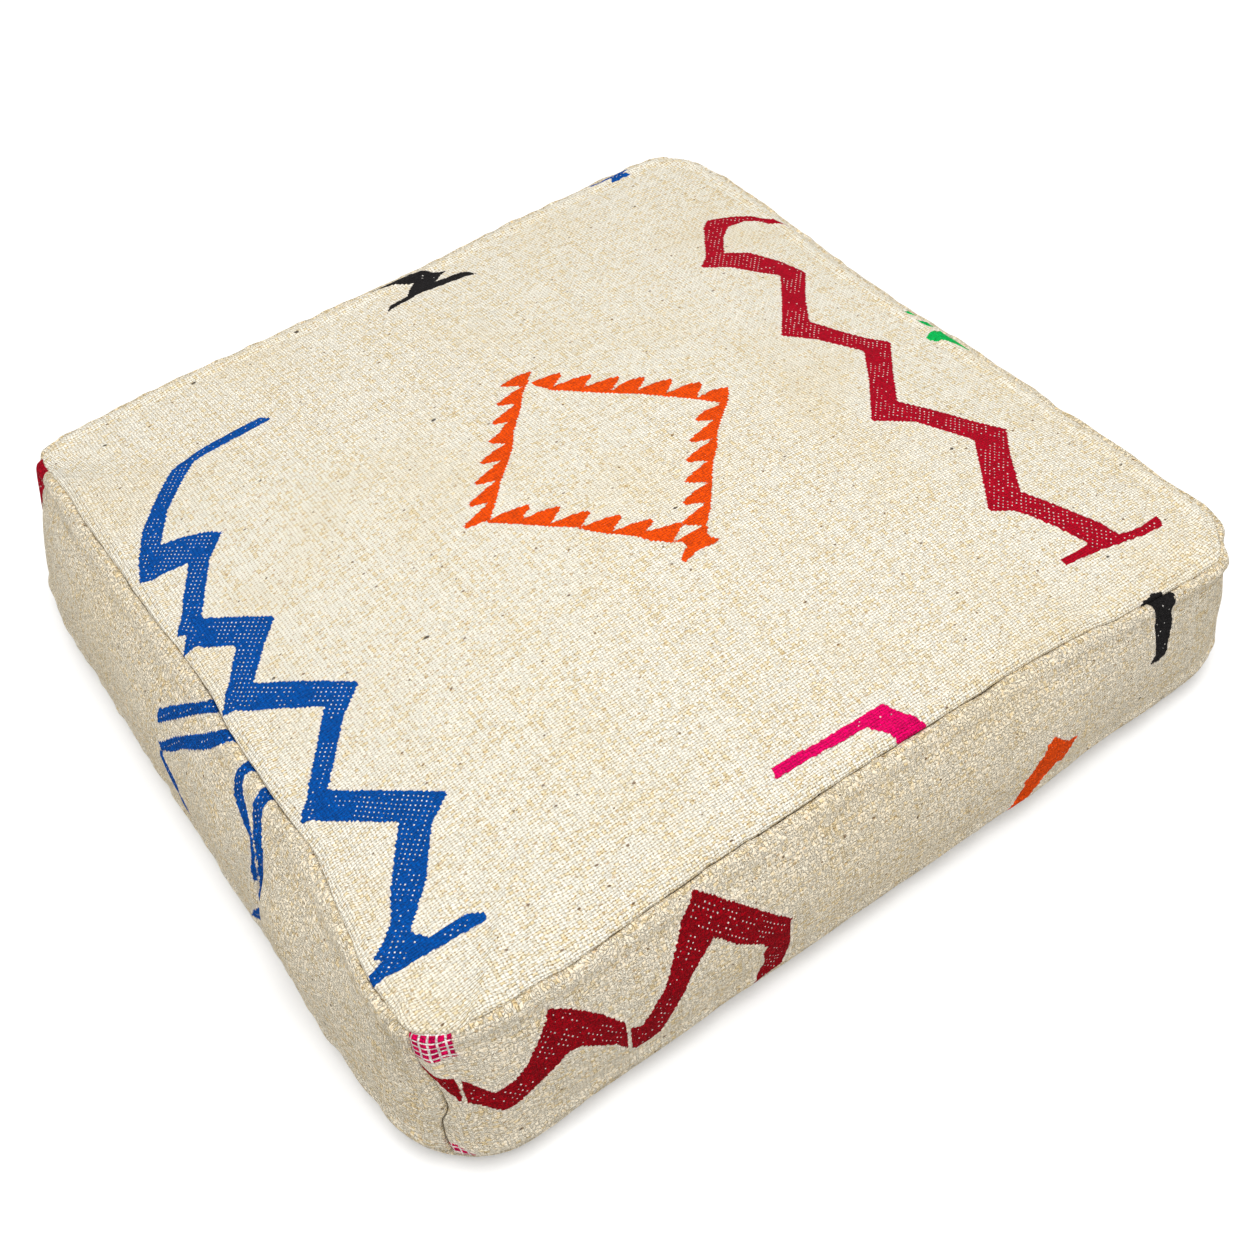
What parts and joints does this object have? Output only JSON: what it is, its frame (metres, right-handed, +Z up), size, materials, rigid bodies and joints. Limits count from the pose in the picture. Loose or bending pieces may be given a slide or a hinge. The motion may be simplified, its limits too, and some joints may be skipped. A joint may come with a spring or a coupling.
{
  "type": "floor pouf",
  "caption": "Square boxed floor pouf of handwoven wool with tapestry ornaments, a zip across its base and a filled cotton inner case.",
  "frame": {"origin": "on the floor, under the middle of the pouf", "axes": "+Z up; -Y is the front edge, the lower right face in the picture; -X is the left edge, the lower left face"},
  "size_m": [0.6715, 0.6277, 0.145],
  "materials": {
    "wool": "handwoven plain-weave wool, matt",
    "thread": "spun sewing thread",
    "zip_tape": "woven tape",
    "zip_teeth": "moulded, satin",
    "zip_metal": "antique, satin",
    "cotton": "plain cotton cloth",
    "wadding": "soft fibre"
  },
  "bodies": {
    "pouf": {"top_panel": "wool", "front_side_panel": "wool", "right_side_panel": "wool", "back_side_panel": "wool", "left_side_panel": "wool", "bottom_panel": "wool", "bottom_front_panel": "wool", "top_seam_thread": "thread", "base_seam_thread": "thread", "near_left_corner_thread": "thread", "near_right_corner_thread": "thread", "far_right_corner_thread": "thread", "far_left_corner_thread": "thread", "zip_tape_front": "zip_tape", "zip_tape_rear": "zip_tape", "zip_teeth_front": "zip_teeth", "zip_teeth_rear": "zip_teeth", "zip_top_stops": "zip_metal", "zip_bottom_stop": "zip_metal", "zip_stitch_front": "thread", "zip_stitch_rear": "thread", "inner_case_top": "cotton", "inner_case_bottom": "cotton", "inner_case_thread": "thread", "filling": "wadding"},
    "slider": {"zip_slider": "zip_metal"},
    "pull_tab": {"zip_pull_tab": "zip_metal"}
  },
  "joints": [
    {"name": "zip_slide", "type": "slide", "parent": "pouf", "child": "slider", "axis": [-1, 0, 0], "range_m": [0, 0.4257], "deforming": ["zip_teeth_front", "zip_teeth_rear"]},
    {"name": "pull_tab_hinge", "type": "hinge", "parent": "slider", "child": "pull_tab", "pos_m": [0.2159, -0.15, 0.00275], "axis": [0, -1, 0], "range_deg": [0, 175]}
  ]
}
